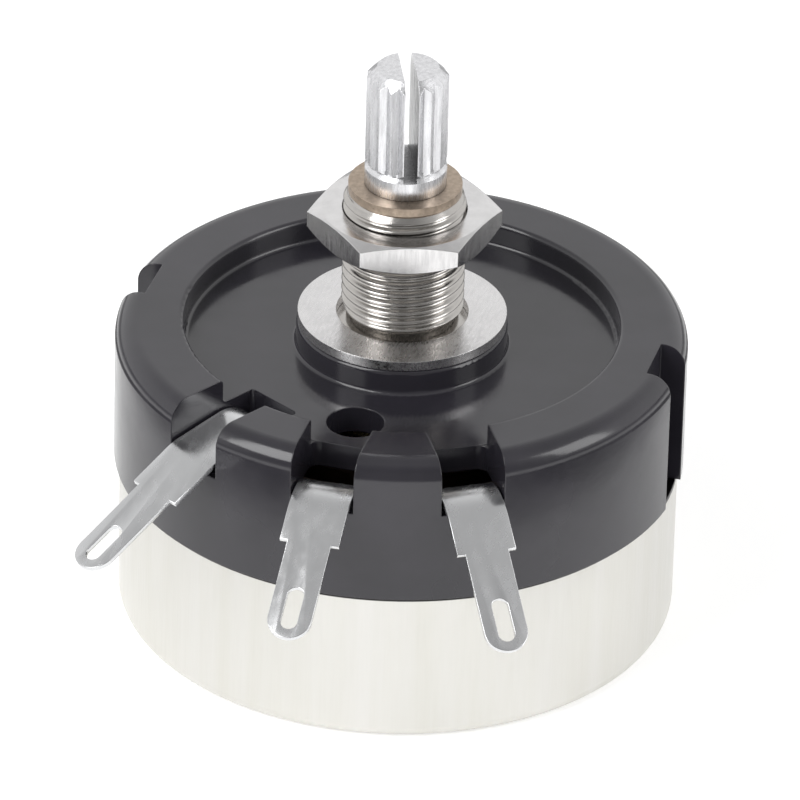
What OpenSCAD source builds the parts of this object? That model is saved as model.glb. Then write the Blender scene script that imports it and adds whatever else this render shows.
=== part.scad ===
// Single-turn wirewound rheostat: moulded housing, drawn metal can, threaded bushing,
// split knurled shaft and three solder lugs, with the winding and the wiper inside.
// Units are millimetres. The origin is the centre of the can's flat back, +Z runs along
// the shaft towards the knob, and the middle lug points to -Y.

/* [Housing] */
// Outer diameter of the moulded housing
housing_d = 42; // [40:0.5:46]
// Height of the housing's outer wall
housing_h = 11.2; // [10.4:0.2:13]
// Radial width of the raised rim
rim_w = 5.05; // [4.4:0.05:5.4]
// Depth of the round recess inside the rim
recess_depth = 1.9; // [1.2:0.1:2.4]
// Thickness of the front wall under the recess
front_wall = 2; // [1.6:0.1:2.4]
// Thickness of the outer wall round the cavity
side_wall = 3.1; // [2.9:0.1:3.3]
// Rounding of the rim's outer edge
rim_round = 1.6; // [0.6:0.1:2]
// Rounding of the rim's inner edge and the hub's edge
edge_round = 0.35; // [0.1:0.05:0.5]
// Fillet where the recess floor meets its walls
floor_fillet = 0.3; // [0.1:0.05:0.4]
// Diameter of the hub that the panel rests on
hub_d = 15.5; // [15:0.1:17]
// Height of the spigot that the can is pushed on to
spigot_h = 3; // [2:0.1:4]
// Width of the two side grooves
groove_w = 4.4; // [3:0.1:6]
// Depth of the side grooves
groove_depth = 2; // [1:0.1:2.1]
// Diameter of the hole in the front wall
front_hole_d = 4.2; // [2:0.1:4.4]
// Distance of that hole from the shaft
front_hole_r = 12.25; // [12:0.05:12.6]

/* [Can] */
// How far the can's wall stands inside the housing's
can_step = 0.4; // [0.3:0.05:0.8]
// Height of the can up to the housing
can_h = 12.1; // [10.5:0.1:16]
// Sheet thickness of the can
can_wall = 0.5; // [0.3:0.05:0.7]
// Outer radius of the can's lower edge
can_round = 1; // [0.8:0.1:2]
// Thickness of the insulating board on the can's floor
board_t = 0.3; // [0.2:0.05:0.5]

/* [Bushing, nut and washer] */
// Outer diameter of the bushing thread
thread_d = 9; // [8.6:0.1:9.4]
// Height of the bushing above the hub
bushing_h = 10.8; // [9.4:0.1:13]
// Depth of the groove at the foot of the thread
root_groove_depth = 0.4; // [0.2:0.05:0.5]
// Height of that groove at the foot of the thread
root_groove_h = 1; // [0.6:0.1:1.5]
// Chamfer at the top of the bushing
bushing_chamfer = 0.55; // [0.2:0.05:0.8]
// Diameter of the bushing root moulded into the hub
bushing_root_d = 10.4; // [9.8:0.1:11]
// Distance across the flats of the nut
nut_flats = 12.3; // [11.5:0.1:14]
// Thickness of the nut
nut_h = 2.2; // [1.8:0.1:3]
// Height of the nut above the hub as drawn
nut_lift = 7.2; // [4:0.1:7.8]
// Turn of the nut about the shaft
nut_turn = -71.4; // [-90:0.1:0]
// Outer diameter of the panel washer
washer_d = 15.3; // [13:0.1:15.3]
// Hole diameter of the panel washer
washer_hole_d = 9.7; // [9.6:0.05:10.5]
// Thickness of the panel washer
washer_t = 0.75; // [0.5:0.05:1.2]

/* [Shaft] */
// Shaft diameter
shaft_d = 6; // [5.6:0.1:6.2]
// Height of the shaft above the bushing
shaft_out = 10.1; // [9:0.1:14]
// Height of the smooth collar above the retaining ring
collar_h = 1.4; // [1:0.05:2]
// Depth of the neck between the collar and the knurl
neck_depth = 0.3; // [0.15:0.05:0.4]
// Number of knurl teeth
knurl_teeth = 18; // [14:1:24]
// Depth of the knurl
knurl_depth = 0.35; // [0.15:0.05:0.35]
// Chamfer at the end of the shaft
shaft_chamfer = 0.75; // [0.4:0.05:1]
// Width of the split in the shaft
split_w = 1; // [0.8:0.1:1.4]
// Outer diameter of the brass retaining ring
ring_d = 8.3; // [7.6:0.1:8.4]
// Thickness of the brass retaining ring
ring_t = 0.65; // [0.5:0.05:0.9]
// Depth of the groove that the ring is sprung into
ring_groove = 0.4; // [0.2:0.05:0.6]
// Turn of the shaft, to where its wiper stands
shaft_turn = 112; // [105:1:115]
// Whole turn of the shaft between its stops
shaft_travel = 300; // [280:1:306]

/* [Solder lugs] */
// Angle between one lug and the next
lug_pitch = 30; // [29:0.5:32]
// Thickness of the lug strip
lug_t = 0.4; // [0.3:0.05:0.5]
// Width of the strip inside the housing wall
lug_w = 4.35; // [3.8:0.05:4.4]
// Width of the free blade
blade_w = 3.2; // [2.6:0.1:3.4]
// Length of the wide part beyond the wiper lug's bend
wiper_shoulder_len = 3.6; // [2.5:0.1:4.5]
// Length of the wide part beyond the bend of the other two lugs
hook_shoulder_len = 2.4; // [1.5:0.1:3.5]
// Length of the narrow blade beyond its shoulders
blade_len = 7.8; // [6.5:0.1:9.5]
// Width of the solder eye
eye_w = 1.2; // [0.8:0.1:1.5]
// Length of the solder eye
eye_len = 3.35; // [2:0.05:4]
// Metal left between the eye and the tip
eye_margin = 0.75; // [0.5:0.05:1.2]
// How far the wiper lug's blade slopes down
wiper_lug_droop = 24.5; // [15:0.5:30]
// How far the middle lug's blade slopes down
middle_lug_droop = 30; // [20:1:40]
// How far the right lug's blade slopes down
right_lug_droop = 34; // [20:1:40]
// How far the middle lug is turned aside at the housing's wall
middle_lug_yaw = 1.9; // [0:0.1:2]
// How far the right lug is turned aside at the housing's wall
right_lug_yaw = 1.5; // [0:0.1:2]

/* [Winding] */
// Thickness of the insulating former strip
former_t = 1; // [0.8:0.05:1.1]
// Width of the former strip
former_h = 11.6; // [9:0.1:13]
// Diameter of the wound wire with its insulation
wire_d = 0.35; // [0.25:0.05:0.4]
// Number of turns drawn round the former
turns = 100; // [60:1:120]
// Height of one turn over the gaps between turns
turn_relief = 0.12; // [0.06:0.01:0.15]

/* [Rotor] */
// Radius of the moulded rotor disc
rotor_r = 9.6; // [9:0.1:9.8]
// Thickness of the rotor disc
rotor_t = 2.5; // [2:0.1:3]
// Thickness of the contact spring's sheet
spring_t = 0.3; // [0.2:0.05:0.35]
// Width of the arm that carries the brush
arm_w = 3; // [2:0.1:4]
// Width of the brush along the winding
brush_w = 2.4; // [1.5:0.1:3]
// Height of the brush
brush_h = 2.6; // [2:0.1:3]
// Width of the collector ring
collector_w = 2; // [1.6:0.1:2.6]
// Thickness of the collector ring
collector_t = 0.4; // [0.3:0.05:0.5]

/* [Clearances] */
// Radial clearance of the shaft in the bushing
shaft_fit = 0.03; // [0.02:0.01:0.06]
// Radial clearance of the nut on the bushing
nut_fit = 0.06; // [0.03:0.01:0.08]
// Clearance between parts that are pushed together
push_fit = 0.05; // [0.02:0.01:0.08]
// Clearance of a part that lies loose on another
rest_gap = 0.02; // [0.01:0.01:0.05]
// Clearance between a sliding contact and its track
contact_gap = 0.1; // [0.06:0.01:0.15]
// Clearance beside a lug in its slot
slot_gap = 0.15; // [0.1:0.05:0.25]
// Clearance left at each stop and beside moving parts
run_gap = 0.3; // [0.25:0.05:0.4]

/* [Hidden] */
$fn = 96;
// Overlap that makes a cut run past a face
cut = 1;
// Angle of one flat along a bend in sheet metal
bend_step = 4;

// Heights along the shaft
housing_z = can_h;
rim_z = housing_z + housing_h;
floor_z = rim_z - recess_depth;
cavity_z = floor_z - front_wall;
hub_z = rim_z;
bushing_z = hub_z + bushing_h;
shaft_z = bushing_z + shaft_out;

// Radii of the housing
housing_r = housing_d / 2;
rim_in_r = housing_r - rim_w;
cavity_r = housing_r - side_wall;
hub_r = hub_d / 2;
can_r = housing_r - can_step;
spigot_r = can_r - can_wall - push_fit;
groove_floor_r = housing_r - groove_depth;

// Bushing flange and the boss it is pressed against, inside the cavity
boss_h = 1.4;
boss_r = 8;
flange_r = 6.5;
flange_t = 0.8;
boss_z = cavity_z - boss_h;
flange_z = boss_z - flange_t;
root_r = bushing_root_d / 2;
bore_r = shaft_d / 2 + shaft_fit;

// Thrust washer, rotor and clip, stacked down the shaft below the bushing
thrust_t = 0.5;
thrust_r = 5.4;
thrust_z = flange_z - rest_gap - thrust_t;
rotor_top_z = thrust_z - rest_gap;
rotor_hub_r = 5;
spring_seat = 1.35;
disc_top_z = rotor_top_z - spring_seat;
disc_z = disc_top_z - rotor_t;
clip_t = 0.7;
clip_r = 4.4;
clip_z = disc_z - rest_gap - clip_t;
clip_groove = 0.5;
shaft_tail = 1;
shaft_foot_z = clip_z - shaft_tail;
// Distance across the two flats on the foot of the shaft
shaft_flats = shaft_d - 1.4;

// Shaft above the bushing
ring_z = bushing_z + rest_gap;
ring_top_z = ring_z + ring_t;
collar_z = ring_top_z + rest_gap;
collar_top_z = collar_z + collar_h;
knurl_z = collar_top_z + 2 * neck_depth;
split_z = collar_top_z;

// Angles about the shaft: the lugs, the gap in the winding and the stop
middle_az = -90;
wiper_az = middle_az - lug_pitch;
right_az = middle_az + lug_pitch;
gap_az = (middle_az + right_az) / 2;
travel_mid = gap_az + 180;

// Slots for the lugs
slot_w = lug_w + 2 * slot_gap;
slot_floor_z = cavity_z - 0.3;
// Inner end of the wiper lug's pocket, and of the other two
wiper_pocket_r = 12.8;
end_pocket_r = 15.6;
wiper_pocket_corner = 0.3;
end_pocket_corner = 0.8;

// Winding: a former strip on edge against the cavity wall, wound with wire
winding_top_z = cavity_z - 0.4;
former_r = cavity_r - push_fit - wire_d - former_t / 2;
former_in_r = former_r - former_t / 2;
former_out_r = former_r + former_t / 2;
former_top_z = winding_top_z - wire_d;
former_z = former_top_z - former_h;
wound_in_r = former_in_r - wire_d;
wound_out_r = former_out_r + wire_d;
// Angles that the former reaches past the lugs, and that the wire stops short of them
former_lap = 5;
bare_end = 10;
former_span = 360 - lug_pitch + 2 * former_lap;
wound_span = 360 - lug_pitch - 2 * bare_end;
wire_fit = 0.03;
turn_pitch = wound_span / turns;
// Share of the pitch that a raised turn takes
turn_share = 0.62;

// Hooked lugs at the ends of the winding: a leg beside the former, then two bends
leg_r = former_out_r + push_fit + lug_t / 2;
leg_h = 5.6;
leg_top_z = cavity_z - 0.8;
leg_channel = 0.45;
hook_r = 1.2;
hook_rise = 20;
crown_r = 4.4;
// Wiper lug: tail under the collector ring's tab, ramp, crown, flat and bend
collector_z = cavity_z - collector_t;
tail_z = collector_z - lug_t / 2;
tail_r = 10.4;
tail_len = 2.1;
ramp_r = 0.8;
ramp_angle = 45;
ramp_len = 1.2;
wiper_crown_r = 2.9;
flat_slope = 8;
flat_len = 3.9;
bend_r = 4;

// Collector ring and its riveted tab
collector_in_r = boss_r + 0.1;
collector_out_r = collector_in_r + collector_w;
collector_tab_r = tail_r + 1.4;
collector_rivet_r = tail_r + 0.7;
rivet_r = 0.55;
rivet_head_r = 0.95;
rivet_head_t = 0.35;
// Gap in the middle of a flat head that stands on the hollow side of the former
head_seat = 0.1;
end_rivet_z = leg_top_z - leg_h / 2;
// Azimuth, droop and yaw of the lugs at the two ends of the winding
end_lugs = [
    [middle_az, middle_lug_droop, middle_lug_yaw],
    [right_az, right_lug_droop, right_lug_yaw]
];

// Contact spring: a washer on the rotor disc with one long arm and two fingers
spring_z = disc_top_z;
spring_in_r = rotor_hub_r + push_fit;
spring_out_r = spring_in_r + 2.2;
brush_r = wound_in_r - contact_gap;
brush_depth = 1;
finger_w = 1.6;
finger_az = 35;
spring_rivet_r = 6.2;
// Rotor stop: a sector on the disc that meets the post in the housing
stop_r = wound_in_r - 1.55;
post_in_r = stop_r - 1.7;
post_out_r = wound_in_r - run_gap;
post_half = 4;
stop_gap_angle = run_gap / stop_r * 180 / PI;
stop_half = 180 - shaft_travel / 2 - post_half - stop_gap_angle;
// Height that the post shares with the stop sector
post_z = disc_z - run_gap;

// A bent strip follows a list of moves in the plane of radius and height. Each move is
// [length], a straight, or [radius, turn], a bend of the centre line; a positive turn is
// to the left. p and a are where the centre line is and how it heads.
function beside(p, a, d) = p + d * [-sin(a), cos(a)];
function signed_r(move) = move[1] < 0 ? -move[0] : move[0];
function move_turn(move) = len(move) == 1 ? 0 : move[1];
function bend_steps(move) = ceil(abs(move[1]) / bend_step);
function bend_point(p, a, move, turn, d) =
    beside(beside(p, a, signed_r(move)), a + turn, d - signed_r(move));
function move_end(p, a, move) =
    len(move) == 1 ? p + move[0] * [cos(a), sin(a)] : bend_point(p, a, move, move[1], 0);
function move_points(p, a, move, d) =
    len(move) == 1 ? [beside(p, a, d)]
    : [for (i = [0 : bend_steps(move) - 1])
        bend_point(p, a, move, move[1] * i / bend_steps(move), d)];
// Line beside the whole path, d to the left of it
function strip_line(p, a, moves, d, i = 0) =
    i == len(moves) ? [beside(p, a, d)]
    : concat(move_points(p, a, moves[i], d),
             strip_line(move_end(p, a, moves[i]), a + move_turn(moves[i]), moves, d, i + 1));
function path_end(p, a, moves, i = 0) =
    i == len(moves) ? p
    : path_end(move_end(p, a, moves[i]), a + move_turn(moves[i]), moves, i + 1);

// Strip of sheet, t thick and w wide, along the path
module bent_strip(p, a, moves, t, w) {
    upper = strip_line(p, a, moves, t / 2);
    lower = strip_line(p, a, moves, -t / 2);
    rotate([90, 0, 0])
        linear_extrude(height = w, center = true)
            polygon(concat(upper, [for (i = [len(lower) - 1 : -1 : 0]) lower[i]]));
}

module tube(r_out, r_in, h) {
    difference() {
        cylinder(r = r_out, h = h);
        translate([0, 0, -cut]) cylinder(r = r_in, h = h + 2 * cut);
    }
}

// Sector of a ring, centred on azimuth az
module ring_sector(r_in, r_out, h, az, half) {
    rotate([0, 0, az - half])
        rotate_extrude(angle = 2 * half)
            translate([r_in, 0]) square([r_out - r_in, h]);
}

// What a rounding of radius r takes off a convex corner at the origin; sx and sy point inwards
module corner_waste(r, sx, sy) {
    difference() {
        translate([sx < 0 ? -r : -cut, sy < 0 ? -r : -cut]) square([r + cut, r + cut]);
        translate([sx * r, sy * r]) circle(r = r);
    }
}

// What a fillet of radius r adds to a concave corner at the origin; sx and sy point into the air
module corner_fillet(r, sx, sy) {
    difference() {
        translate([sx < 0 ? -r : 0, sy < 0 ? -r : 0]) square([r, r]);
        translate([sx * r, sy * r]) circle(r = r);
    }
}

module housing_profile() {
    difference() {
        union() {
            difference() {
                translate([0, housing_z]) square([housing_r, housing_h]);
                translate([hub_r, floor_z]) square([rim_in_r - hub_r, recess_depth + cut]);
                translate([0, housing_z - cut]) square([cavity_r, cavity_z - housing_z + cut]);
            }
            translate([hub_r, floor_z]) corner_fillet(floor_fillet, 1, 1);
            translate([rim_in_r, floor_z]) corner_fillet(floor_fillet, -1, 1);
            translate([0, boss_z]) square([boss_r, boss_h + cut / 2]);
            translate([cavity_r, housing_z - spigot_h])
                square([spigot_r - cavity_r, spigot_h + cut]);
        }
        translate([housing_r, rim_z]) corner_waste(rim_round, -1, -1);
        translate([rim_in_r, rim_z]) corner_waste(edge_round, 1, -1);
        translate([hub_r, rim_z]) corner_waste(edge_round, -1, -1);
        translate([-cut, boss_z - cut]) square([root_r + push_fit + cut, housing_h]);
    }
}

// Pocket for one lug: square through the rim, and with inner corners through the front wall
module lug_slot(inner_r, corner) {
    length = housing_r + cut - inner_r;
    translate([inner_r, -slot_w / 2, floor_z])
        cube([length, slot_w, recess_depth + cut]);
    translate([inner_r, 0, slot_floor_z])
        linear_extrude(height = floor_z - slot_floor_z + cut / 2)
            difference() {
                translate([0, -slot_w / 2]) square([length, slot_w]);
                translate([0, slot_w / 2]) corner_waste(corner, 1, -1);
                translate([0, -slot_w / 2]) corner_waste(corner, 1, 1);
            }
}

// Channel in the cavity wall for the leg of a hooked lug
module leg_slot() {
    depth = leg_r + lug_t / 2 + leg_channel - former_r;
    translate([former_r, -slot_w / 2, end_rivet_z - leg_h / 2 - run_gap])
        cube([depth, slot_w, leg_h + 2 * run_gap + cut]);
}

module front_housing() {
    color([0.1, 0.1, 0.11])
    union() {
        difference() {
            rotate_extrude() housing_profile();
            for (az = [0, 180])
                rotate([0, 0, az])
                    translate([groove_floor_r, -groove_w / 2, housing_z])
                        cube([groove_depth + cut, groove_w, housing_h + cut]);
            rotate([0, 0, wiper_az]) lug_slot(wiper_pocket_r, wiper_pocket_corner);
            for (az = [middle_az, right_az])
                rotate([0, 0, az]) {
                    lug_slot(end_pocket_r, end_pocket_corner);
                    leg_slot();
                }
            rotate([0, 0, middle_az])
                translate([front_hole_r, 0, cavity_z - cut])
                    cylinder(d = front_hole_d, h = front_wall + 2 * cut);
            rotate([0, 0, wiper_az])
                translate([collector_rivet_r, 0, cavity_z - cut])
                    cylinder(r = rivet_head_r + push_fit, h = rivet_head_t + push_fit + cut);
        }
        translate([0, 0, post_z])
            ring_sector(post_in_r, post_out_r, cavity_z - post_z + cut / 2, gap_az, post_half);
    }
}

module rear_can() {
    color([0.86, 0.86, 0.87])
    rotate_extrude()
        difference() {
            square([can_r, can_h]);
            translate([-cut, can_wall])
                difference() {
                    square([can_r - can_wall + cut, can_h + cut]);
                    translate([can_r - can_wall + cut, 0]) corner_waste(can_round - can_wall, -1, 1);
                }
            translate([can_r, 0]) corner_waste(can_round, -1, 1);
        }
}

module can_insulator() {
    color([0.55, 0.42, 0.28])
    translate([0, 0, can_wall])
        cylinder(r = can_r - can_round - push_fit, h = board_t);
}

module bushing() {
    color([0.78, 0.76, 0.73])
    rotate_extrude()
        difference() {
            union() {
                translate([bore_r, flange_z]) square([flange_r - bore_r, flange_t]);
                translate([bore_r, flange_z]) square([root_r - bore_r, hub_z - flange_z]);
                translate([bore_r, hub_z - cut])
                    square([thread_d / 2 - root_groove_depth - bore_r, bushing_h + cut]);
                translate([bore_r, hub_z + root_groove_h])
                    square([thread_d / 2 - bore_r, bushing_h - root_groove_h]);
            }
            translate([thread_d / 2, bushing_z]) chamfer_waste(bushing_chamfer);
            translate([thread_d / 2, hub_z + root_groove_h])
                mirror([0, 1]) chamfer_waste(root_groove_depth);
        }
}

// Triangle that a 45 degree chamfer takes off an outer upper corner at the origin
module chamfer_waste(c) {
    polygon([[-c, cut], [-c, 0], [0, -c], [cut, -c], [cut, cut]]);
}

module mounting_nut() {
    corner_r = nut_flats / 2 / cos(30);
    chamfer_r = nut_flats / 2 - 0.1;
    lower_h = (corner_r - chamfer_r) * tan(30);
    upper_h = (corner_r - chamfer_r) * tan(20);
    color([0.8, 0.79, 0.77])
    translate([0, 0, hub_z + nut_lift])
        rotate([0, 0, nut_turn])
            difference() {
                intersection() {
                    rotate([0, 0, 30]) cylinder(r = corner_r, h = nut_h, $fn = 6);
                    rotate_extrude()
                        polygon([
                            [0, 0], [chamfer_r, 0], [corner_r, lower_h],
                            [corner_r, nut_h - upper_h], [chamfer_r, nut_h], [0, nut_h]
                        ]);
                }
                translate([0, 0, -cut]) cylinder(r = thread_d / 2 + nut_fit, h = nut_h + 2 * cut);
            }
}

module panel_washer() {
    color([0.8, 0.78, 0.78])
    translate([0, 0, hub_z + rest_gap])
        tube(washer_d / 2, washer_hole_d / 2, washer_t);
}

// Knurled length with one narrow ridge per tooth, crests at the shaft's own radius and a
// valley at azimuth 0
module knurled_bar(h) {
    half = 180 / knurl_teeth;
    crest = half * 0.12;
    linear_extrude(height = h)
        polygon([
            for (i = [0 : knurl_teeth - 1], corner = [0, half - crest, half + crest])
                let (r = corner == 0 ? shaft_d / 2 - knurl_depth : shaft_d / 2)
                r * [cos(2 * half * i + corner), sin(2 * half * i + corner)]
        ]);
}

module shaft() {
    r = shaft_d / 2;
    knurl_h = shaft_z - knurl_z + neck_depth;
    color([0.84, 0.84, 0.86])
    rotate([0, 0, shaft_turn])
        difference() {
            union() {
                rotate_extrude()
                    polygon([
                        [0, shaft_foot_z], [r, shaft_foot_z], [r, clip_z],
                        [r - clip_groove, clip_z], [r - clip_groove, clip_z + clip_t],
                        [r, clip_z + clip_t], [r, bushing_z], [r - ring_groove, bushing_z],
                        [r - ring_groove, collar_z], [r, collar_z], [r, collar_top_z],
                        [r - neck_depth, collar_top_z + neck_depth],
                        [r - neck_depth, knurl_z], [0, knurl_z]
                    ]);
                intersection() {
                    translate([0, 0, knurl_z - neck_depth]) knurled_bar(knurl_h);
                    rotate_extrude()
                        polygon([
                            [0, knurl_z - neck_depth], [r - neck_depth, knurl_z - neck_depth],
                            [r, knurl_z], [r, shaft_z - shaft_chamfer],
                            [r - shaft_chamfer, shaft_z], [0, shaft_z]
                        ]);
                }
            }
            translate([-shaft_d, -split_w / 2, split_z])
                cube([2 * shaft_d, split_w, shaft_z - split_z + cut]);
            for (side = [0, 180])
                rotate([0, 0, side])
                    translate([-shaft_d, shaft_flats / 2, shaft_foot_z - cut])
                        cube([2 * shaft_d, shaft_d, disc_top_z - shaft_foot_z + cut]);
        }
}

module retaining_ring() {
    color([0.76, 0.67, 0.53])
    translate([0, 0, ring_z])
        tube(ring_d / 2, shaft_d / 2 - ring_groove + push_fit, ring_t);
}

module thrust_washer() {
    color([0.72, 0.6, 0.4])
    translate([0, 0, thrust_z])
        tube(thrust_r, shaft_d / 2 + push_fit, thrust_t);
}

// Open clip in the groove at the foot of the shaft
module shaft_clip() {
    inner_r = shaft_d / 2 - clip_groove + push_fit;
    color([0.45, 0.45, 0.48])
    translate([0, 0, clip_z + push_fit / 2])
        rotate([0, 0, shaft_turn])
            difference() {
                tube(clip_r, inner_r, clip_t - push_fit);
                translate([0, -inner_r, -cut]) cube([2 * clip_r, 2 * inner_r, clip_t + 2 * cut]);
            }
}

// Moulded disc on the flats of the shaft, with its hub and its stop sector
module rotor_disc() {
    flats = shaft_flats + 2 * push_fit;
    color([0.32, 0.17, 0.1])
    rotate([0, 0, shaft_turn])
        difference() {
            union() {
                translate([0, 0, disc_z]) cylinder(r = rotor_r, h = rotor_t);
                translate([0, 0, disc_z]) cylinder(r = rotor_hub_r, h = rotor_top_z - disc_z);
                translate([0, 0, disc_z]) ring_sector(rotor_r - 1, stop_r, rotor_t, 0, stop_half);
            }
            translate([0, 0, disc_z - cut])
                intersection() {
                    cylinder(r = shaft_d / 2 + push_fit, h = disc_top_z - disc_z + cut);
                    translate([-shaft_d, -flats / 2, 0]) cube([2 * shaft_d, flats, 2 * housing_h]);
                }
            translate([0, 0, disc_top_z - cut / 2])
                cylinder(r = shaft_d / 2 + push_fit, h = spring_seat + cut);
            for (side = [90, 270])
                rotate([0, 0, side])
                    translate([spring_rivet_r, 0, disc_z - cut])
                        cylinder(r = rivet_r + push_fit, h = rotor_t + 2 * cut);
        }
}

// One long arm to the winding and two short fingers to the collector ring
module contact_spring() {
    lap = 0.6;
    start = [spring_in_r + lap, spring_z + spring_t / 2];
    foot_len = spring_out_r - spring_in_r;
    step_bend = 1;
    step_angle = 30;
    step_len = 0.9;
    step_run = 2 * step_bend * sin(step_angle) + step_len * cos(step_angle);
    arm_len = brush_r - brush_depth - rest_gap - spring_out_r - lap - step_run;
    arm_moves = [[foot_len], [step_bend, step_angle], [step_len], [step_bend, -step_angle], [arm_len]];
    finger_foot = 0.9;
    finger_tip = 0.35;
    finger_bend = 0.6;
    finger_angle = 65;
    finger_lift = collector_z - contact_gap - spring_z - spring_t;
    finger_rise = (finger_lift - 2 * finger_bend * (1 - cos(finger_angle))) / sin(finger_angle);
    finger_moves = [
        [finger_foot], [finger_bend, finger_angle], [finger_rise],
        [finger_bend, -finger_angle], [finger_tip]
    ];
    color([0.8, 0.6, 0.35])
    rotate([0, 0, shaft_turn])
        difference() {
            union() {
                translate([0, 0, spring_z]) tube(spring_out_r, spring_in_r, spring_t);
                bent_strip(start, 0, arm_moves, spring_t, arm_w);
                for (side = [-1, 1])
                    rotate([0, 0, side * finger_az])
                        bent_strip(start, 0, finger_moves, spring_t, finger_w);
            }
            for (side = [90, 270])
                rotate([0, 0, side])
                    translate([spring_rivet_r, 0, spring_z - cut])
                        cylinder(r = rivet_r + push_fit, h = spring_t + 2 * cut);
        }
}

// Block whose outer face follows the inside of the winding
module contact_brush() {
    mid_z = spring_z + spring_t;
    color([0.25, 0.24, 0.24])
    rotate([0, 0, shaft_turn])
        intersection() {
            translate([brush_r - brush_depth, -brush_w / 2, mid_z])
                cube([2 * brush_depth, brush_w, brush_h]);
            cylinder(r = brush_r, h = rim_z);
        }
}

// Rivet along +Z from z = 0 to z = grip, with a flat head at each end
module rivet(grip) {
    cylinder(r = rivet_r, h = grip);
    translate([0, 0, -rivet_head_t]) cylinder(r = rivet_head_r, h = rivet_head_t);
    translate([0, 0, grip]) cylinder(r = rivet_head_r, h = rivet_head_t);
}

module spring_rivets() {
    color([0.74, 0.7, 0.6])
    for (side = [90, 270])
        rotate([0, 0, shaft_turn + side])
            translate([spring_rivet_r, 0, disc_z]) rivet(rotor_t + spring_t);
}

module collector_ring() {
    color([0.8, 0.68, 0.42])
    translate([0, 0, collector_z])
        difference() {
            union() {
                tube(collector_out_r, collector_in_r, collector_t);
                rotate([0, 0, wiper_az])
                    translate([collector_out_r - 0.6, -lug_w / 2, 0])
                        cube([collector_tab_r - collector_out_r + 0.6, lug_w, collector_t]);
            }
            rotate([0, 0, wiper_az])
                translate([collector_rivet_r, 0, -cut])
                    cylinder(r = rivet_r + push_fit, h = collector_t + 2 * cut);
        }
}

module collector_rivet() {
    color([0.74, 0.7, 0.6])
    rotate([0, 0, wiper_az])
        translate([collector_rivet_r, 0, tail_z - lug_t / 2]) rivet(lug_t + collector_t);
}

// What is cut from a lug beyond its last bend, at the origin: the eye, and all beside the blade
module blade_waste(shoulder_len) {
    tip_r = blade_w / 2;
    eye_r = eye_w / 2;
    tip = shoulder_len + blade_len;
    eye_end = tip - eye_margin - eye_r;
    eye_start = tip - eye_margin - eye_len + eye_r;
    translate([0, 0, -cut])
        linear_extrude(height = 2 * cut) {
            difference() {
                translate([shoulder_len, -lug_w]) square([blade_len + cut, 2 * lug_w]);
                translate([0, -tip_r]) square([tip - tip_r, blade_w]);
                translate([tip - tip_r, 0]) circle(r = tip_r);
            }
            translate([eye_start, -eye_r]) square([eye_end - eye_start, eye_w]);
            for (x = [eye_start, eye_end])
                translate([x, 0]) circle(r = eye_r);
        }
}

// Strip bent along the path, then straight on at the droop as far as the blade's tip
module lug(p, a, moves, droop, shoulder_len) {
    bend = path_end(p, a, moves);
    difference() {
        bent_strip(p, a, concat(moves, [[shoulder_len + blade_len]]), lug_t, lug_w);
        translate([bend[0], 0, bend[1]])
            rotate([0, droop, 0])
                blade_waste(shoulder_len);
    }
}

module wiper_lug() {
    moves = [
        [tail_len], [ramp_r, ramp_angle], [ramp_len],
        [wiper_crown_r, -(ramp_angle + flat_slope)], [flat_len],
        [bend_r, -(wiper_lug_droop - flat_slope)]
    ];
    color([0.72, 0.73, 0.75])
    rotate([0, 0, wiper_az])
        difference() {
            lug([tail_r, tail_z], 0, moves, wiper_lug_droop, wiper_shoulder_len);
            translate([collector_rivet_r, 0, tail_z - cut]) cylinder(r = rivet_r + push_fit, h = 2 * cut);
        }
}

// Puts a shape of an end lug at its azimuth, turned aside where the lug passes the wall
module at_end_lug(spec) {
    rotate([0, 0, spec[0]])
        translate([housing_r, 0, 0])
            rotate([0, 0, spec[2]])
                translate([-housing_r, 0, 0])
                    children();
}

// Cylinder across the leg of an end lug, from radius r outwards
module across_leg(r, radius, length) {
    translate([r, 0, end_rivet_z])
        rotate([0, 90, 0])
            cylinder(r = radius, h = length);
}

// Lug with a leg riveted to one end of the former, hooked over the housing wall
module end_lug(spec) {
    droop = spec[1];
    moves = [[leg_h], [hook_r, hook_rise - 90], [crown_r, -(hook_rise + droop)]];
    at_end_lug(spec)
        difference() {
            lug([leg_r, leg_top_z - leg_h], 90, moves, droop, hook_shoulder_len);
            across_leg(leg_r - cut, rivet_r + push_fit, 2 * cut);
        }
}

module middle_lug() {
    color([0.72, 0.73, 0.75]) end_lug(end_lugs[0]);
}

module right_lug() {
    color([0.72, 0.73, 0.75]) end_lug(end_lugs[1]);
}

module end_rivets() {
    color([0.74, 0.7, 0.6])
    for (spec = end_lugs)
        at_end_lug(spec)
            translate([former_in_r - head_seat, 0, end_rivet_z])
                rotate([0, 90, 0]) rivet(leg_r + lug_t / 2 - former_in_r + head_seat);
}

// Strip bent into an open ring, its two ends under the legs of the end lugs
module winding_former() {
    color([0.62, 0.47, 0.28])
    difference() {
        translate([0, 0, former_z])
            ring_sector(former_in_r, former_out_r, former_h, travel_mid, former_span / 2);
        for (spec = end_lugs)
            at_end_lug(spec)
                across_leg(former_in_r - cut, rivet_r + push_fit, former_t + 2 * cut);
    }
}

// Closed loop round the former over a small angle, between two distances from the former
module wound_loop(inner, outer, half) {
    rotate([0, 0, -half])
        rotate_extrude(angle = 2 * half)
            difference() {
                translate([former_in_r - outer, former_z - outer])
                    square([former_t + 2 * outer, former_h + 2 * outer]);
                translate([former_in_r - inner, former_z - inner])
                    square([former_t + 2 * inner, former_h + 2 * inner]);
            }
}

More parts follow.
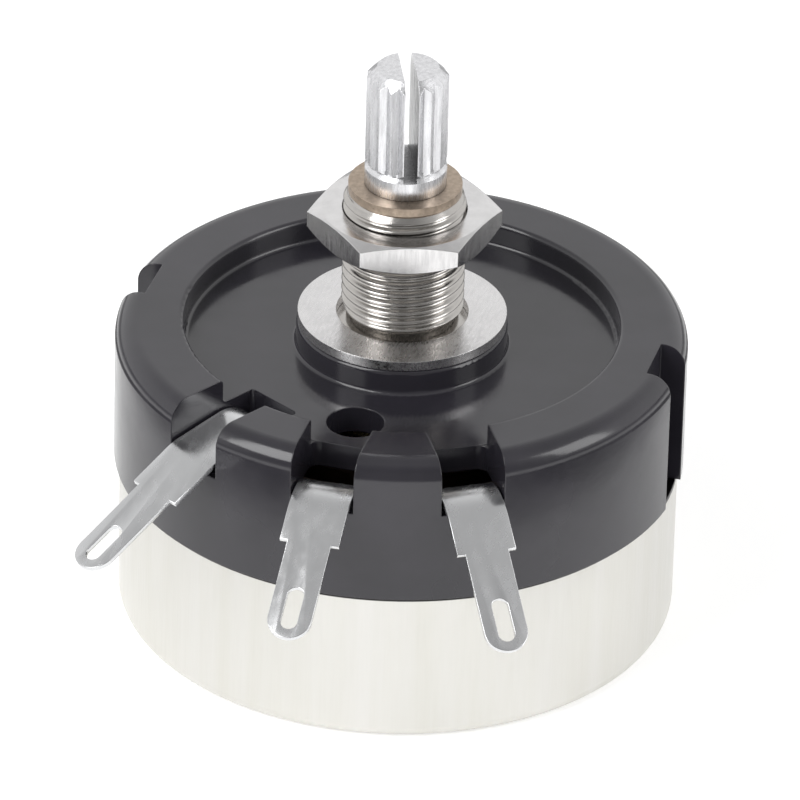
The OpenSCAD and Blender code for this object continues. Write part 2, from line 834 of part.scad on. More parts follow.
// The wire: a thin closed sleeve with each turn standing out of it
module resistance_winding() {
    sleeve = wire_d - turn_relief;
    color([0.6, 0.5, 0.42])
    rotate([0, 0, travel_mid]) {
        wound_loop(wire_fit, sleeve, wound_span / 2);
        for (i = [0 : turns - 1])
            rotate([0, 0, (i - (turns - 1) / 2) * turn_pitch])
                wound_loop((wire_fit + sleeve) / 2, wire_d, turn_pitch * turn_share / 2);
    }
}

front_housing();
rear_can();
can_insulator();
bushing();
mounting_nut();
panel_washer();
shaft();
retaining_ring();
thrust_washer();
shaft_clip();
rotor_disc();
contact_spring();
contact_brush();
spring_rivets();
collector_ring();
collector_rivet();
wiper_lug();
middle_lug();
right_lug();
end_rivets();
winding_former();
resistance_winding();
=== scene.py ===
"""Looks for the wirewound rheostat: materials, the threaded bushing, the bent lugs, light and camera.

Lengths are in metres, and in millimetres inside the materials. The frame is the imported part's:
+Z along the shaft, -Y to the middle lug.
"""

import math

import bmesh
import bpy
from mathutils import Matrix, Vector


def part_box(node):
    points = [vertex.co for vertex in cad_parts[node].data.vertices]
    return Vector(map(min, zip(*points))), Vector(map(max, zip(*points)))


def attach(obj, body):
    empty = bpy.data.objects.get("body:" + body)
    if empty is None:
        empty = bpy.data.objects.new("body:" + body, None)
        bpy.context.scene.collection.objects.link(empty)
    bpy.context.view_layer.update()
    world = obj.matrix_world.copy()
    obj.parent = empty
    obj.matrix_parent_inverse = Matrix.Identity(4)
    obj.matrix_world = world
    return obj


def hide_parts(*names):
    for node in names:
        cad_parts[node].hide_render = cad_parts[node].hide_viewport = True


MM = 0.001

# Camera: lens from the photograph's perspective, aim point on the shaft's axis
CAMERA_AZIMUTH = -75.0
CAMERA_ELEVATION = 30.97
CAMERA_DISTANCE = 647.2 * MM
CAMERA_ORBIT_HEIGHT = 12.1 * MM
CAMERA_AIM_HEIGHT = 16.36 * MM
CAMERA_ROLL = 1.44
CAMERA_LENS_MM, CAMERA_SENSOR_MM = 394.65, 36
CAMERA_CLIP = (0.05, 20)

# Light: white sky and floor, and what only reflections see of them
FRONT = (math.cos(math.radians(CAMERA_AZIMUTH)), math.sin(math.radians(CAMERA_AZIMUTH)))
SKY_LOW, SKY_HIGH = 0.95, 0.5
SKY_FADE = (0.45, 0.95)
FRONT_FADE = (0.15, 0.75)
FRONT_DARKNESS = 0.75
FLOOR_HALF = 3.0
FLOOR_ROUGHNESS = 0.9
FLOOR_TONE, SHADE_TONE = 0.9, 0.05
FLOOR_LIFT = 0.34
FAR_FADE = (90 * MM, 200 * MM)
FAR_DARKNESS = 0.75
# Two dark flags on the floor, one on each side: how far out, how soft, and how wide a sector
FLAG_NEAR, FLAG_FAR = 46 * MM, 72 * MM
FLAG_EDGE = 8 * MM
FLAG_SECTOR = (0.4, 0.65)
FLAG_DARKNESS = 0.9
LAMP_DISTANCE = 0.5
LAMP_AIM_HEIGHT = 20 * MM

# Materials: where a noise's values lie for soft clouds and for fine grain, how the painted shade
# darkens recesses, and the samples of two nodes
NOISE_ROUGHNESS = 0.55
CLOUD = (0.35, 0.7)
GRAIN = (0.3, 0.7)
RECESS_SAMPLES = 8
RECESS_SHADE_FADE = (0.4, 0.75)
RECESS_SHADE_TONE = 0.2
BEVEL_SAMPLES = 6
# The can: radius for its drawn streaks, and how far under its top the painted shadow under the housing's
# skirt fades in
CAN_RADIUS_MM = 20.6
SKIRT_SHADOW_MM = (0.4, 0.34)

# The bushing and its thread: the bore is the shaft's and a clearance, and the plain foot, which
# stands in the hub, ends a little below the washer
THREAD_PITCH = 0.75 * MM
THREAD_DEPTH = 0.38 * MM
THREAD_STEPS = 120
THREAD_ROWS_PER_PITCH = 14
# Share of the pitch that the rounded form keeps flat at root and at crest, and how much that form
# counts against a straight flank
THREAD_FLAT = 0.08
THREAD_ROUNDNESS = 0.65
THREAD_RELIEF_HEIGHT = 1.0 * MM
THREAD_RUNOUT = 0.5 * MM
THREAD_CHAMFER = 0.55 * MM
THREAD_CREST = 4.5 * MM
THREAD_ROOT = THREAD_CREST - THREAD_DEPTH
THREAD_CREASE = 50
BORE_CLEARANCE = 0.03 * MM
FLANGE_THICKNESS = 0.8 * MM
FOOT_RADIUS = 5.2 * MM
FOOT_DEPTH = 0.05 * MM

# Solder lugs: the same strip, bends and blade as in the solids
LUG_THICKNESS = 0.4 * MM
LUG_WIDTH = 4.35 * MM
BLADE_WIDTH = 3.2 * MM
BLADE_LENGTH = 7.8 * MM
EYE_WIDTH = 1.2 * MM
EYE_LENGTH = 3.35 * MM
EYE_MARGIN = 0.75 * MM
LUG_EDGE = 0.05 * MM
LUG_CREASE = 40
BEND_STEP = 2.5
TIP_STEPS, EYE_STEPS = 24, 16
# How far a path runs past its lug's tip, and how close points are that become one
PATH_SPARE = 1 * MM
WELD = 1e-7

# The wiper's lug: tail, ramp, crown, flat and last bend
WIPER_AZIMUTH, WIPER_DROOP = -120, 24.5
TAIL_START, TAIL_LENGTH = 10.4 * MM, 2.1 * MM
RAMP_RADIUS, RAMP_ANGLE, RAMP_LENGTH = 0.8 * MM, 45, 1.2 * MM
WIPER_CROWN_RADIUS = 2.9 * MM
FLAT_LENGTH, FLAT_SLOPE = 3.9 * MM, 8
LAST_BEND_RADIUS = 4.0 * MM
WIPER_SHOULDER_LENGTH = 3.6 * MM

# The other two lugs: leg, which ends LEG_DEPTH under the front wall, hook and crown; then name,
# node, azimuth, droop and yaw of each
LEG_RADIUS, LEG_HEIGHT, LEG_DEPTH = 17.75 * MM, 5.6 * MM, 0.8 * MM
HOOK_RADIUS, HOOK_RISE = 1.2 * MM, 20
CROWN_RADIUS = 4.4 * MM
HOOK_SHOULDER_LENGTH = 2.4 * MM
HOOKED_LUGS = (
    ("lug_middle", "middle_lug", -90, 30, 1.9),
    ("lug_right", "right_lug", -60, 34, 1.5),
)


def on_axis(azimuth, elevation, distance, height):
    """Point at a distance from the axis point at that height, seen at azimuth and elevation."""
    a, e = math.radians(azimuth), math.radians(elevation)
    flat = distance * math.cos(e)
    return Vector((flat * math.cos(a), flat * math.sin(a), height + distance * math.sin(e)))


def gray(value):
    return (value, value, value)


def scaled(values, factor):
    return tuple(factor * value for value in values)


# ---------------------------------------------------------------- materials


class Nodes:
    """Adds shader nodes to a tree; an input takes a number, a colour or another node's output."""

    def __init__(self, tree):
        self.tree = tree

    def new(self, kind):
        return self.tree.nodes.new("ShaderNode" + kind)

    def put(self, socket, value):
        if isinstance(value, (int, float, tuple)):
            socket.default_value = value
        else:
            self.tree.links.new(value, socket)

    def math(self, operation, a, b=0.0):
        node = self.new("Math")
        node.operation = operation
        self.put(node.inputs[0], a)
        self.put(node.inputs[1], b)
        return node.outputs[0]

    def remap(self, value, low, high, to_low=0.0, to_high=1.0, smooth=False):
        """Carries low..high over to to_low..to_high, and holds the ends beyond them."""
        node = self.new("MapRange")
        if smooth:
            node.interpolation_type = "SMOOTHSTEP"
        self.put(node.inputs["Value"], value)
        for socket, number in zip(("From Min", "From Max", "To Min", "To Max"), (low, high, to_low, to_high)):
            node.inputs[socket].default_value = number
        return node.outputs["Result"]

    def fade(self, value, ends):
        """0 below the first end and 1 above the second, smooth between."""
        return self.remap(value, *ends, smooth=True)

    def dot(self, vector, direction):
        node = self.new("VectorMath")
        node.operation = "DOT_PRODUCT"
        self.put(node.inputs[0], vector)
        self.put(node.inputs[1], direction)
        return node.outputs["Value"]

    def mix(self, factor, a, b):
        """Colour a where factor is 0 and b where it is 1."""
        node = self.new("Mix")
        node.data_type = "RGBA"
        self.put(node.inputs["Factor"], factor)
        for socket, value in ((node.inputs["A"], a), (node.inputs["B"], b)):
            self.put(socket, (*value, 1.0) if isinstance(value, tuple) else value)
        return node.outputs["Result"]


class Shader(Nodes):
    """A principled material with object coordinates in millimetres."""

    def __init__(self, name, color, roughness, metallic=0.0, ior=None):
        self.material = bpy.data.materials.new(name)
        self.material.use_nodes = True
        super().__init__(self.material.node_tree)
        self.inputs = self.tree.nodes["Principled BSDF"].inputs
        self.put(self.inputs["Base Color"], (*color, 1.0))
        self.put(self.inputs["Roughness"], roughness)
        self.put(self.inputs["Metallic"], metallic)
        if ior:
            self.put(self.inputs["IOR"], ior)
        to_mm = self.new("VectorMath")
        to_mm.operation = "SCALE"
        self.put(to_mm.inputs[0], self.new("TexCoord").outputs["Object"])
        self.put(to_mm.inputs["Scale"], 1 / MM)
        self.place = to_mm.outputs[0]

    def stretched(self, vector, factors):
        node = self.new("VectorMath")
        node.operation = "MULTIPLY"
        self.put(node.inputs[0], vector)
        self.put(node.inputs[1], factors)
        return node.outputs[0]

    def noise(self, scale, detail=3.0, stretch=None, vector=None):
        """Noise of about that many features per millimetre; stretch scales the three directions."""
        node = self.new("TexNoise")
        self.put(node.inputs["Scale"], scale)
        self.put(node.inputs["Detail"], detail)
        self.put(node.inputs["Roughness"], NOISE_ROUGHNESS)
        place = vector or self.place
        self.put(node.inputs["Vector"], self.stretched(place, stretch) if stretch else place)
        return node.outputs["Fac"]

    def height(self):
        """Height in the part's frame, in millimetres."""
        split = self.new("SeparateXYZ")
        self.put(split.inputs[0], self.place)
        return split.outputs["Z"]

    def around(self, radius_mm):
        """Coordinates unrolled round the axis: length along the circle, distance from it, height."""
        split = self.new("SeparateXYZ")
        self.put(split.inputs[0], self.place)
        x, y, z = split.outputs
        combine = self.new("CombineXYZ")
        self.put(combine.inputs["X"], self.math("MULTIPLY", self.math("ARCTAN2", y, x), radius_mm))
        squares = self.math("ADD", self.math("MULTIPLY", x, x), self.math("MULTIPLY", y, y))
        self.put(combine.inputs["Y"], self.math("SQRT", squares))
        self.put(combine.inputs["Z"], z)
        return combine.outputs[0]

    def open_to_air(self, reach_mm):
        """1 on open faces and less in recesses and slots narrower than the reach."""
        node = self.new("AmbientOcclusion")
        node.samples = RECESS_SAMPLES
        self.put(node.inputs["Distance"], reach_mm * MM)
        return node.outputs["AO"]

    def color(self, value):
        self.put(self.inputs["Base Color"], value)

    def rough(self, value):
        self.put(self.inputs["Roughness"], value)

    def relief(self, *heights, edge=0.0):
        """Bump from (height, depth in mm) pairs over edges rounded by edge, in mm."""
        normal = None
        if edge:
            bevel = self.new("Bevel")
            bevel.samples = BEVEL_SAMPLES
            self.put(bevel.inputs["Radius"], edge * MM)
            normal = bevel.outputs["Normal"]
        for height, depth in heights:
            bump = self.new("Bump")
            self.put(bump.inputs["Strength"], 1.0)
            self.put(bump.inputs["Distance"], depth * MM)
            self.put(bump.inputs["Height"], height)
            if normal:
                self.put(bump.inputs["Normal"], normal)
            normal = bump.outputs["Normal"]
        self.put(self.inputs["Normal"], normal)


def moulded_black():
    s = Shader("moulded_black", (0.02, 0.02, 0.022), 0.16, ior=1.6)
    s.color(s.mix(s.remap(s.noise(0.16), *CLOUD), (0.018, 0.017, 0.022), (0.026, 0.024, 0.031)))
    s.rough(s.remap(s.noise(0.35, 4), *GRAIN, 0.1, 0.2))
    s.relief((s.noise(0.5, 2), 0.008), (s.noise(6.0, 2), 0.0008), edge=0.12)
    return s.material


def satin_can():
    """Drawn can with faint upright streaks, and a painted shadow line under the housing's skirt."""
    s = Shader("satin_can", (0.72, 0.71, 0.67), 0.38, metallic=1.0)
    unrolled = s.around(CAN_RADIUS_MM)
    streak = s.noise(0.5, 4, stretch=(1.0, 1.0, 0.05), vector=unrolled)
    fine = s.noise(7.0, 2, stretch=(1.0, 1.0, 0.04), vector=unrolled)
    tone = s.mix(s.remap(streak, *GRAIN), (0.70, 0.69, 0.645), (0.73, 0.72, 0.69))
    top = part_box("rear_can")[1].z / MM
    # Painted shadow: the colour goes near black just under the can's top, where the housing's skirt shades
    # it.
    skirt_shadow = s.remap(s.height(), *(top - below for below in SKIRT_SHADOW_MM))
    s.color(s.mix(skirt_shadow, tone, gray(0.03)))
    s.rough(s.remap(fine, *GRAIN, 0.3, 0.44))
    s.relief((fine, 0.003), edge=0.1)
    return s.material


def plated(
    name, color, roughness, grain=(0.6, 5.0), edge=0.05,
    scratch=0.0012, drawn=(1.0, 0.25, 1.0), cloudy=0.1, recess=0.0,
):
    """Bright plated or turned metal.

    Grain is the scale of its clouds and of its scratches. Drawn stretches the scratches, and the
    clouds too where painted shade is set. Scratch is the scratches' depth, cloudy is how much
    darker the clouds are, and recesses and slots up to the painted shade's reach wide get painted
    shade, a darker colour. Lengths are in mm.
    """
    s = Shader(name, color, roughness, metallic=1.0)
    cloud = s.noise(grain[0], stretch=drawn if recess else None)
    fine = s.noise(grain[1], stretch=drawn)
    tone = s.mix(s.remap(cloud, *CLOUD), scaled(color, 1 - cloudy), color)
    # Painted shade: the colour darkens in recesses and slots, found by ambient occlusion.
    if recess:
        tone = s.mix(s.remap(s.open_to_air(recess), *RECESS_SHADE_FADE), scaled(color, RECESS_SHADE_TONE), tone)
    s.color(tone)
    s.rough(s.remap(fine, *GRAIN, 0.75 * roughness, 1.3 * roughness))
    if scratch or edge:
        s.relief((fine, scratch), edge=edge)
    return s.material


def matte(name, dark, light, roughness, grain, depth=0.01):
    """Board, moulding or carbon: mottled and matte."""
    s = Shader(name, light, roughness)
    mottle = s.noise(grain, 4)
    s.color(s.mix(s.remap(mottle, *GRAIN), dark, light))
    s.rough(s.remap(mottle, *GRAIN, 0.9 * roughness, min(1.0, 1.1 * roughness)))
    s.relief((s.noise(2 * grain), depth))
    return s.material


# What plated() and matte() take for each finish, then the finish of each node
UPRIGHT = (1.0, 1.0, 0.12)
METALS = {
    "nickel_plate": {"color": (0.55, 0.53, 0.505), "roughness": 0.17, "scratch": 0.002},
    "nickel_nut": {
        "color": (0.78, 0.77, 0.77), "roughness": 0.2,
        "grain": (0.6, 6.0), "edge": 0.08, "scratch": 0.0015, "drawn": UPRIGHT,
    },
    "plated_washer": {
        "color": (0.80, 0.79, 0.79), "roughness": 0.28, "edge": 0.08, "scratch": 0.0003, "cloudy": 0.06,
    },
    # The shaft's knurl grooves and slot walls get painted shade, reaching 2.5 mm.
    "bright_shaft": {
        "color": (0.88, 0.88, 0.9), "roughness": 0.26, "grain": (3.2, 5.0), "edge": 0.04,
        "scratch": 0.008, "drawn": UPRIGHT, "cloudy": 0.22, "recess": 2.5,
    },
    "brass_ring": {
        "color": (0.53, 0.43, 0.34), "roughness": 0.36, "grain": (2.5, 6.0), "scratch": 0.006, "cloudy": 0.25,
    },
    "tinned_lug": {
        "color": (0.73, 0.735, 0.745), "roughness": 0.24,
        "grain": (0.3, 1.5), "edge": 0.0, "scratch": 0.0, "cloudy": 0.04,
    },
    "bronze": {"color": (0.72, 0.5, 0.28), "roughness": 0.3},
    "spring_steel": {"color": (0.42, 0.42, 0.45), "roughness": 0.3},
    "rivet_metal": {"color": (0.7, 0.62, 0.48), "roughness": 0.3},
    "collector_brass": {"color": (0.8, 0.65, 0.36), "roughness": 0.25},
    "resistance_wire": {"color": (0.5, 0.4, 0.33), "roughness": 0.34},
}
MATTES = {
    "insulating_board": ((0.035, 0.025, 0.018), (0.06, 0.042, 0.03), 0.7, 0.8),
    "rotor_moulding": ((0.03, 0.018, 0.012), (0.05, 0.03, 0.02), 0.45, 0.7, 0.005),
    "carbon": (gray(0.02), gray(0.06), 0.6, 3.0),
}
LOOKS = {
    "front_housing": "moulded_black",
    "rear_can": "satin_can",
    "can_insulator": "insulating_board",
    "bushing": "nickel_plate",
    "mounting_nut": "nickel_nut",
    "panel_washer": "plated_washer",
    "shaft": "bright_shaft",
    "retaining_ring": "brass_ring",
    "thrust_washer": "bronze",
    "shaft_clip": "spring_steel",
    "rotor_disc": "rotor_moulding",
    "contact_spring": "bronze",
    "contact_brush": "carbon",
    "spring_rivets": "rivet_metal",
    "collector_ring": "collector_brass",
    "collector_rivet": "rivet_metal",
    "wiper_lug": "tinned_lug",
    "middle_lug": "tinned_lug",
    "right_lug": "tinned_lug",
    "end_rivets": "rivet_metal",
    "winding_former": "insulating_board",
    "resistance_winding": "resistance_wire",
}


def make_material(name):
    if name in METALS:
        return plated(name, **METALS[name])
    if name in MATTES:
        return matte(name, *MATTES[name])
    return {"moulded_black": moulded_black, "satin_can": satin_can}[name]()


def dress(frame):
    """Gives each node its material; one material serves every node that shares it."""
    made = {}
    for node, name in LOOKS.items():
        if name not in made:
            made[name] = make_material(name)
        data = frame["nodes"][node].data
        data.materials.clear()
        data.materials.append(made[name])
    return made


# ---------------------------------------------------------------- meshes


def mesh_object(name, vertices, faces, material, body, replaced):
    """A new piece from vertices and faces, in place of a node."""
    mesh = bpy.data.meshes.new(name)
    mesh.from_pydata(vertices, [], faces)
    mesh.validate()
    mesh.materials.append(material)
    return add_piece(bpy.data.objects.new(name, mesh), body, replaced)


def add_piece(piece, body, replaced):
    """Puts a piece into the scene, on its body and in the place of a node."""
    bpy.context.scene.collection.objects.link(piece)
    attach(piece, body)
    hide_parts(replaced)
    return piece


def smooth(piece, angle):
    """Smooth shading, with edges sharper than angle, in degrees, kept crisp."""
    mesh = piece.data
    mesh.shade_smooth()
    mesh.set_sharp_from_angle(angle=math.radians(angle))


def thread_radius(height, turn):
    """Radius of the rounded thread at a height above its start, for a turn from 0 to 1."""
    phase = (height / THREAD_PITCH - turn) % 1.0
    ramp = abs(2 * phase - 1)
    flank = (ramp - THREAD_FLAT) / (1 - 2 * THREAD_FLAT)
    rounded = 0.5 - 0.5 * math.cos(math.pi * min(1.0, max(0.0, flank)))
    share = (1 - THREAD_ROUNDNESS) * ramp + THREAD_ROUNDNESS * rounded
    return THREAD_ROOT + (THREAD_CREST - THREAD_ROOT) * share


def threaded_radius(height, from_top, turn):
    """Radius above the hub: a plain neck, then the thread, chamfered at the bushing's top."""
    runout = min(1.0, max(0.0, (height - THREAD_RELIEF_HEIGHT) / THREAD_RUNOUT))
    r = THREAD_ROOT + (thread_radius(height, turn) - THREAD_ROOT) * runout
    return min(r, THREAD_CREST - THREAD_CHAMFER + from_top)


def threaded_bushing(material):
    """The bushing with a real helical thread; bore, flange and foot stay as in the solid."""
    low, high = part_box("bushing")
    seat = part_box("panel_washer")[0].z
    top = high.z
    flange = high.x
    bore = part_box("shaft")[1].x + BORE_CLEARANCE
    rows = int(round((top - seat) / THREAD_PITCH * THREAD_ROWS_PER_PITCH))
    flange_top = low.z + FLANGE_THICKNESS
    profile = [(bore, low.z), (flange, low.z), (flange, flange_top)]
    profile += [(FOOT_RADIUS, flange_top), (FOOT_RADIUS, seat - FOOT_DEPTH)]
    vertices, faces = [], []

    def ring(radii, z):
        for k, r in enumerate(radii):
            angle = 2 * math.pi * k / THREAD_STEPS
            vertices.append((r * math.cos(angle), r * math.sin(angle), z))

    for r, z in profile:
        ring([r] * THREAD_STEPS, z)
    for i in range(rows + 1):
        z = seat + (top - seat) * i / rows
        ring([threaded_radius(z - seat, top - z, k / THREAD_STEPS) for k in range(THREAD_STEPS)], z)
    ring([bore] * THREAD_STEPS, top)
    count = len(vertices) // THREAD_STEPS
    for i in range(count):
        a, b = i * THREAD_STEPS, ((i + 1) % count) * THREAD_STEPS
        for k in range(THREAD_STEPS):
            n = (k + 1) % THREAD_STEPS
            faces.append((a + k, a + n, b + n, b + k))
    piece = mesh_object("threaded_bushing", vertices, faces, material, "housing", "bushing")
    smooth(piece, THREAD_CREASE)
    return piece


def arc_points(centre, radius, start, end, steps):
    """Points on an arc from one angle to another, in degrees."""
    return [
        (
            centre[0] + radius * math.cos(math.radians(start + (end - start) * i / steps)),
            centre[1] + radius * math.sin(math.radians(start + (end - start) * i / steps)),
        )
        for i in range(steps + 1)
    ]


def blank_outlines(shoulder_at):
    """Outline and eye of a lug's flat blank, which runs along +X from 0 past its shoulders."""
    edge = LUG_EDGE
    wide, narrow = LUG_WIDTH / 2 - edge, BLADE_WIDTH / 2 - edge
    shoulder = shoulder_at - edge
    tip = shoulder_at + BLADE_LENGTH
    tip_centre = tip - BLADE_WIDTH / 2
    outline = [(edge, -wide), (shoulder, -wide), (shoulder, -narrow)]
    outline += arc_points((tip_centre, 0), narrow, -90, 90, TIP_STEPS)
    outline += [(shoulder, narrow), (shoulder, wide), (edge, wide)]
    eye = EYE_WIDTH / 2 + edge
    eye_end = tip - EYE_MARGIN - EYE_WIDTH / 2
    eye_start = tip - EYE_MARGIN - EYE_LENGTH + EYE_WIDTH / 2
    hole = arc_points((eye_end, 0), eye, -90, 90, EYE_STEPS)
    hole += arc_points((eye_start, 0), eye, 90, 270, EYE_STEPS)
    return outline, hole


def flat_plate(name, loops, thickness, edge):
    """Plate from closed loops in XY, centred on z = 0, with its edges rounded outwards by edge."""
    curve = bpy.data.curves.new(name, "CURVE")
    curve.dimensions = "2D"
    curve.fill_mode = "BOTH"
    curve.extrude = thickness / 2 - edge
    curve.bevel_depth = edge
    curve.bevel_resolution = 2
    for loop in loops:
        spline = curve.splines.new("POLY")
        spline.points.add(len(loop) - 1)
        for point, (x, y) in zip(spline.points, loop):
            point.co = (x, y, 0, 1)
        spline.use_cyclic_u = True
    source = bpy.data.objects.new(name, curve)
    bpy.context.scene.collection.objects.link(source)
    bpy.context.view_layer.update()
    mesh = bpy.data.meshes.new_from_object(source.evaluated_get(bpy.context.evaluated_depsgraph_get()))
    bpy.data.objects.remove(source)
    bpy.data.curves.remove(curve)
    return mesh


def path_stations(start, heading, moves):
    """Lengths, points and headings along a path of straights (length,) and bends (radius, turn)."""
    stations = [(0.0, Vector(start), heading)]
    for move in moves:
        length, point, angle = stations[-1]
        if len(move) == 1:
            direction = Vector((math.cos(math.radians(angle)), math.sin(math.radians(angle))))
            stations.append((length + move[0], point + move[0] * direction, angle))
            continue
        radius, turn = move
        side = math.copysign(radius, turn)
        a = math.radians(angle)
        centre = point + side * Vector((-math.sin(a), math.cos(a)))
        steps = math.ceil(abs(turn) / BEND_STEP)
        for i in range(1, steps + 1):
            b = math.radians(angle + turn * i / steps)
            here = centre - side * Vector((-math.sin(b), math.cos(b)))
            stations.append((length + radius * math.radians(abs(turn)) * i / steps, here, math.degrees(b)))
    return stations


def bend_along(mesh, stations, place):
    """Bends a flat plate: x becomes the way along the path, z the way off it, y stays across."""
    bm = bmesh.new()
    bm.from_mesh(mesh)
    for length, _, _ in stations[1:-1]:
        geometry = bm.verts[:] + bm.edges[:] + bm.faces[:]
        bmesh.ops.bisect_plane(bm, geom=geometry, plane_co=(length, 0, 0), plane_no=(1, 0, 0), dist=WELD)
    for vertex in bm.verts:
        along, across, off = vertex.co
        index = 0
        while index < len(stations) - 2 and along > stations[index + 1][0]:
            index += 1
        (s0, p0, a0), (s1, p1, a1) = stations[index], stations[index + 1]
        share = (along - s0) / (s1 - s0)
        point = p0 + (p1 - p0) * share
        angle = math.radians(a0 + (a1 - a0) * share)
        r = point.x - off * math.sin(angle)
        z = point.y + off * math.cos(angle)
        vertex.co = place @ Vector((r, across, z))
    bmesh.ops.remove_doubles(bm, verts=bm.verts[:], dist=WELD)
    bmesh.ops.recalc_face_normals(bm, faces=bm.faces[:])
    bm.to_mesh(mesh)
    bm.free()


def lug_place(azimuth, yaw):
    """Turns a lug to its azimuth, and aside by yaw where it passes the housing's wall."""
    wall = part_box("front_housing")[1].x
    aside = Matrix.Translation((wall, 0, 0)) @ Matrix.Rotation(math.radians(yaw), 4, "Z")
    aside @= Matrix.Translation((-wall, 0, 0))
    return Matrix.Rotation(math.radians(azimuth), 4, "Z") @ aside


def bent_lug(name, node, start, heading, moves, shoulder_length, place, material):
    """One lug: a flat blank with its eye, bent along its path and put in its place."""
    stations = path_stations(start, heading, moves)
    bent_length, bend_end, slope = stations[-1]
    straight = shoulder_length + BLADE_LENGTH + PATH_SPARE
    length, end, _ = path_stations(bend_end, slope, [(straight,)])[1]
    stations.append((bent_length + length, end, slope))
    mesh = flat_plate(name, blank_outlines(bent_length + shoulder_length), LUG_THICKNESS, LUG_EDGE)
    bend_along(mesh, stations, place)
    mesh.materials.clear()
    mesh.materials.append(material)
    piece = add_piece(bpy.data.objects.new(name, mesh), "housing", node)
    smooth(piece, LUG_CREASE)
    return piece


def solder_lugs(material):
    """The wiper's lug, ramped and flat, and the two hooked ones, as in the solids."""
    front_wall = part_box("collector_ring")[1].z
    tail_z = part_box("collector_ring")[0].z - LUG_THICKNESS / 2
    wiper_path = [
        (TAIL_LENGTH,),
        (RAMP_RADIUS, RAMP_ANGLE),
        (RAMP_LENGTH,),
        (WIPER_CROWN_RADIUS, -(RAMP_ANGLE + FLAT_SLOPE)),
        (FLAT_LENGTH,),
        (LAST_BEND_RADIUS, FLAT_SLOPE - WIPER_DROOP),
    ]
    bent_lug(
        "lug_wiper", "wiper_lug", (TAIL_START, tail_z), 0, wiper_path,
        WIPER_SHOULDER_LENGTH, lug_place(WIPER_AZIMUTH, 0), material,
    )
    foot = (LEG_RADIUS, front_wall - LEG_DEPTH - LEG_HEIGHT)
    for name, node, azimuth, droop, yaw in HOOKED_LUGS:
        hooked = [(LEG_HEIGHT,), (HOOK_RADIUS, HOOK_RISE - 90), (CROWN_RADIUS, -(HOOK_RISE + droop))]
        bent_lug(
            name, node, foot, 90, hooked,
            HOOK_SHOULDER_LENGTH, lug_place(azimuth, yaw), material,
        )


# ---------------------------------------------------------------- scene


def add_floor():
    """White floor with a soft shadow; in reflections it has two dark flags and darkens far out."""
    corners = [(x * FLOOR_HALF, y * FLOOR_HALF, 0) for x, y in ((-1, -1), (1, -1), (1, 1), (-1, 1))]
    mesh = bpy.data.meshes.new("floor")
    mesh.from_pydata(corners, [], [(0, 1, 2, 3)])
    floor = bpy.data.objects.new("floor", mesh)
    bpy.context.scene.collection.objects.link(floor)
    material = bpy.data.materials.new("floor_white")
    material.use_nodes = True
    n = Nodes(material.node_tree)
    inputs = n.tree.nodes["Principled BSDF"].inputs
    n.put(inputs["Roughness"], FLOOR_ROUGHNESS)
    n.put(inputs["Specular IOR Level"], 0.0)
    ray = n.new("LightPath").outputs
    place = n.new("NewGeometry").outputs["Position"]
    forward = n.dot(place, (*FRONT, 0))
    aside = n.math("ABSOLUTE", n.dot(place, (-FRONT[1], FRONT[0], 0)))
    distance = n.math("SQRT", n.math("ADD", n.math("POWER", forward, 2.0), n.math("POWER", aside, 2.0)))
    sector = n.fade(n.math("DIVIDE", aside, distance), FLAG_SECTOR)
    inside, outside = (n.fade(distance, (edge, edge + FLAG_EDGE)) for edge in (FLAG_NEAR, FLAG_FAR))
    flags = n.math("MULTIPLY", sector, n.math("SUBTRACT", inside, outside))
    far = n.math("MULTIPLY", n.fade(distance, FAR_FADE), FAR_DARKNESS)
    dark = n.math("MAXIMUM", n.math("MULTIPLY", flags, FLAG_DARKNESS), far)
    dark = n.math("MULTIPLY", dark, ray["Is Glossy Ray"])
    n.put(inputs["Base Color"], n.mix(dark, gray(FLOOR_TONE), gray(SHADE_TONE)))
    seen = n.math("MAXIMUM", ray["Is Camera Ray"], ray["Is Glossy Ray"])
    lift = n.math("MULTIPLY", seen, n.math("SUBTRACT", 1.0, dark))
    n.put(inputs["Emission Color"], (*gray(1), 1))
    n.put(inputs["Emission Strength"], n.math("MULTIPLY", lift, FLOOR_LIFT))
    mesh.materials.append(material)


def add_world():
    """White studio: bright near the horizon, softer overhead, dark low in front in reflections."""
    world = bpy.data.worlds.new("studio")
    bpy.context.scene.world = world
    world.use_nodes = True
    n = Nodes(world.node_tree)
    direction = n.new("TexCoord").outputs["Generated"]
    sky = n.mix(n.fade(n.dot(direction, (0, 0, 1)), SKY_FADE), gray(SKY_LOW), gray(SKY_HIGH))
    ray = n.new("LightPath").outputs
    front = n.math("MULTIPLY", n.fade(n.dot(direction, (*FRONT, 0)), FRONT_FADE), ray["Is Glossy Ray"])
    sky = n.mix(n.math("MULTIPLY", front, FRONT_DARKNESS), sky, gray(SHADE_TONE))
    n.put(n.tree.nodes["Background"].inputs["Color"], n.mix(ray["Is Camera Ray"], sky, gray(1)))


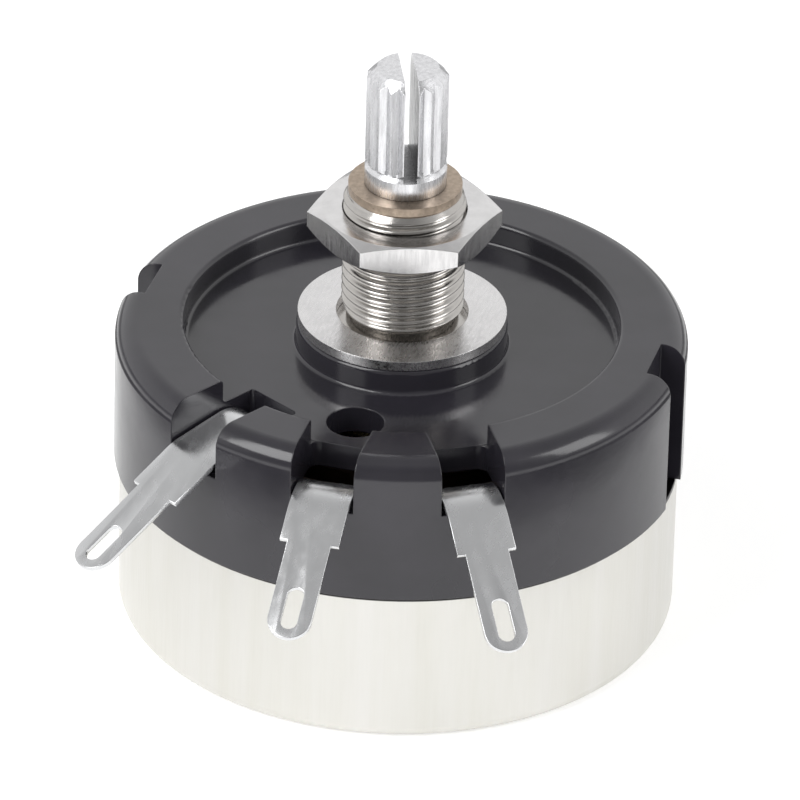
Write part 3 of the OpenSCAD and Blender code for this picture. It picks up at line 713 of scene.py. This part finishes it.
def add_lamp(name, azimuth, elevation, size, power):
    """Soft rectangular lamp aimed at the part's middle: angles in degrees, power in watts."""
    lamp = bpy.data.lights.new(name, "AREA")
    lamp.shape = "RECTANGLE"
    lamp.size, lamp.size_y = size
    lamp.energy = power
    holder = bpy.data.objects.new(name, lamp)
    bpy.context.scene.collection.objects.link(holder)
    holder.location = on_axis(azimuth, elevation, LAMP_DISTANCE, LAMP_AIM_HEIGHT)
    aim = Vector((0, 0, LAMP_AIM_HEIGHT)) - holder.location
    holder.rotation_euler = aim.to_track_quat("-Z", "Y").to_euler()


def add_camera():
    data = bpy.data.cameras.new("camera")
    data.lens = CAMERA_LENS_MM
    data.sensor_width = CAMERA_SENSOR_MM
    data.clip_start, data.clip_end = CAMERA_CLIP
    camera = bpy.data.objects.new("camera", data)
    bpy.context.scene.collection.objects.link(camera)
    camera.location = on_axis(CAMERA_AZIMUTH, CAMERA_ELEVATION, CAMERA_DISTANCE, CAMERA_ORBIT_HEIGHT)
    aim = Vector((0, 0, CAMERA_AIM_HEIGHT)) - camera.location
    turn = aim.to_track_quat("-Z", "Y").to_matrix().to_4x4()
    camera.rotation_euler = (turn @ Matrix.Rotation(math.radians(CAMERA_ROLL), 4, "Z")).to_euler()
    bpy.context.scene.camera = camera


# ---------------------------------------------------------------- the part

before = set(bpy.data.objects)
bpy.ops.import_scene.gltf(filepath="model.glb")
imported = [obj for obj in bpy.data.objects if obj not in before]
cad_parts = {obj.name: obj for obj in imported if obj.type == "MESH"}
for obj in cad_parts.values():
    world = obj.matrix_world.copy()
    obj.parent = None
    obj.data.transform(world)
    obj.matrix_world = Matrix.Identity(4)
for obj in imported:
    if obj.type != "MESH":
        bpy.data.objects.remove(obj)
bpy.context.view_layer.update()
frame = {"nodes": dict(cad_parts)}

materials = dress(frame)
threaded_bushing(materials["nickel_plate"])
solder_lugs(materials["tinned_lug"])

add_floor()
add_world()
add_lamp("key", -130, 40, (0.25, 0.35), 1.2)
add_lamp("fill", 0, 25, (0.2, 0.3), 0.5)
add_camera()
bpy.context.scene.view_settings.view_transform = "Standard"
